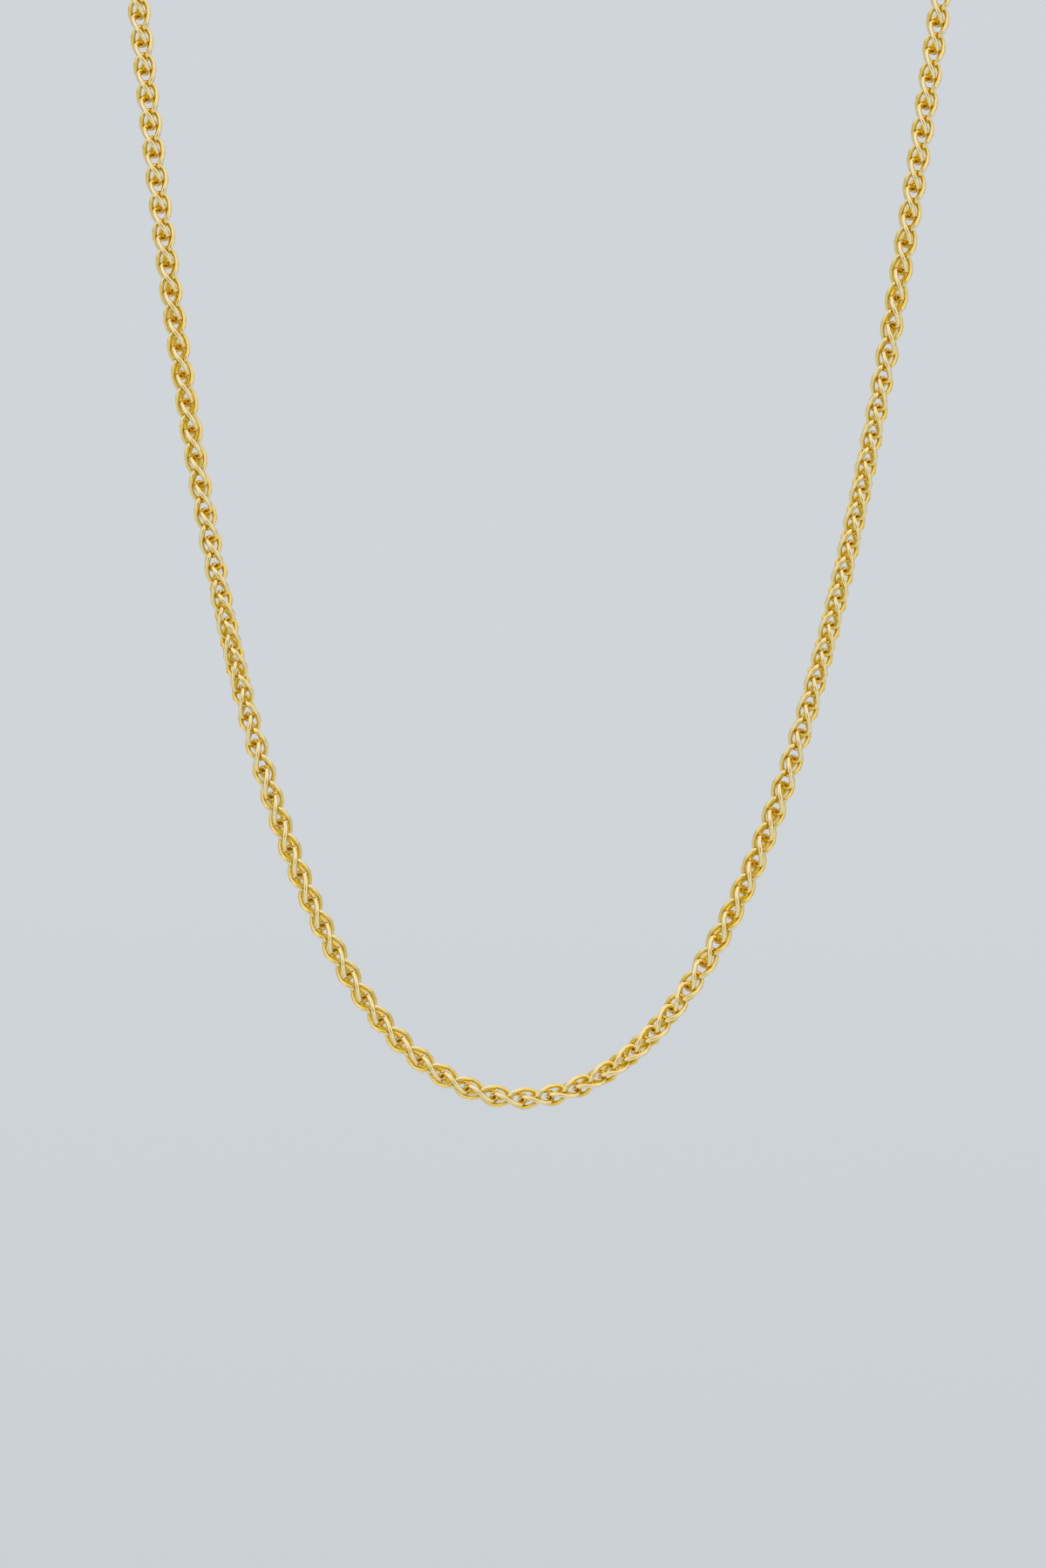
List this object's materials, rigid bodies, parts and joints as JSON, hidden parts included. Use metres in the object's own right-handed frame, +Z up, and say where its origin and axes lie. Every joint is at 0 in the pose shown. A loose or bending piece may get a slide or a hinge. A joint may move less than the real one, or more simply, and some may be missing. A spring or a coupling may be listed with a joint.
{
  "type": "wheat chain necklace",
  "caption": "Yellow gold wheat chain for the neck: a round rope of woven oval links that hangs in a deep U, shut at the nape with a spring ring.",
  "frame": {"origin": "where the chain sits on the back of the neck, midway between its two ends", "axes": "+Z up, -Y the way the front of the chain faces, +X to the right as seen from the front"},
  "size_m": [0.1032, 0.0878, 0.1814],
  "materials": {
    "chain_gold": "polished yellow gold wire",
    "clasp_gold": "polished yellow gold"
  },
  "bodies": {
    "root": {"chain_left": "chain_gold", "chain_right": "chain_gold", "catch_ring": "clasp_gold", "clasp": "clasp_gold", "jump_ring": "clasp_gold"}
  },
  "joints": []
}
